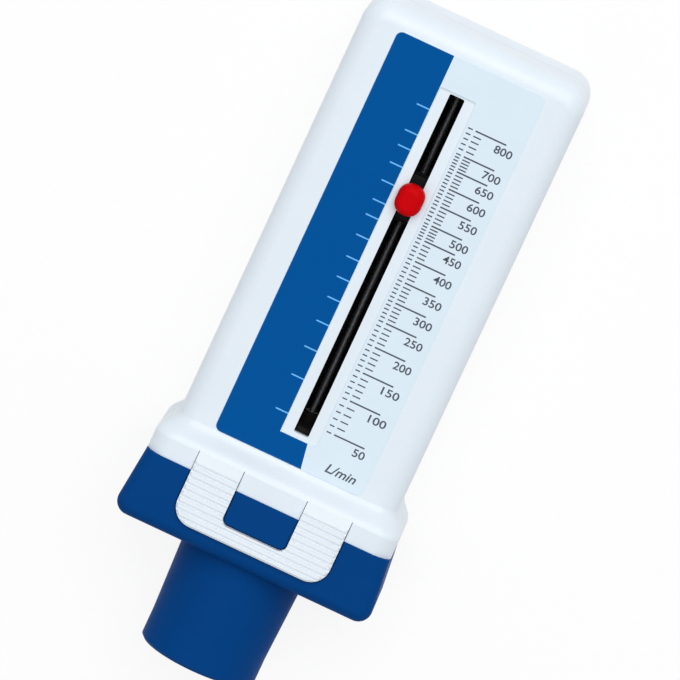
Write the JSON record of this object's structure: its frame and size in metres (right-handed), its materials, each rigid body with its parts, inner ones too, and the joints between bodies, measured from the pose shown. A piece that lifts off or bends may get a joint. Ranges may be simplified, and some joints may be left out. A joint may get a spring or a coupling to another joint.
{
  "type": "peak flow meter",
  "caption": "Hand-held peak flow meter: flat white case with a slotted scale and a red pointer, a blue base with a round mouthpiece and a ribbed latch.",
  "frame": {"origin": "under the middle of the bounding box, on the back face that the meter lies on", "axes": "+Z out of the scale, +Y towards the closed top end and away from the mouthpiece, +X to the right of the scale"},
  "size_m": [0.063, 0.158, 0.0364],
  "materials": {
    "case_white": "moulded white plastic, satin",
    "label_film": "printed film, white with a blue field",
    "black_plastic": "moulded black plastic",
    "steel": "drawn steel wire",
    "rubber_black": "moulded rubber",
    "base_blue": "moulded blue plastic, satin",
    "pointer_red": "moulded red plastic",
    "felt": "black pressed felt",
    "bush_white": "low-friction plastic",
    "latch_white": "moulded white plastic with ribs"
  },
  "bodies": {
    "root": {"front_shell": "case_white", "rear_shell": "case_white", "scale_label": "label_film", "barrel": "black_plastic", "barrel_end_cap": "black_plastic", "inlet_spider": "black_plastic", "guide_rod": "steel", "rod_clips": "steel", "stroke_buffer": "rubber_black", "return_spring": "steel", "base_cap": "base_blue", "mouthpiece": "base_blue", "mouthpiece_gasket": "rubber_black"},
    "pointer": {"pointer_knob": "pointer_red", "pointer_shoe": "black_plastic", "pointer_pads": "felt"},
    "piston": {"piston": "black_plastic", "piston_bush": "bush_white"},
    "latch": {"latch": "latch_white"}
  },
  "joints": [
    {"name": "pointer_slide", "type": "slide", "parent": "root", "child": "pointer", "axis": [0, 1, 0], "range_m": [-0.0568, 0.0231]},
    {"name": "piston_slide", "type": "slide", "parent": "root", "child": "piston", "axis": [0, 1, 0], "range_m": [0, 0.0825], "stiffness_N_per_m": 12, "springref_m": -0.01, "deforming": ["return_spring"]},
    {"name": "latch_flex", "type": "hinge", "parent": "root", "child": "latch", "pos_m": [0, -0.03125, 0.0346], "axis": [-1, 0, 0], "range_deg": [0, 8], "stiffness_Nm_per_rad": 1.5}
  ]
}
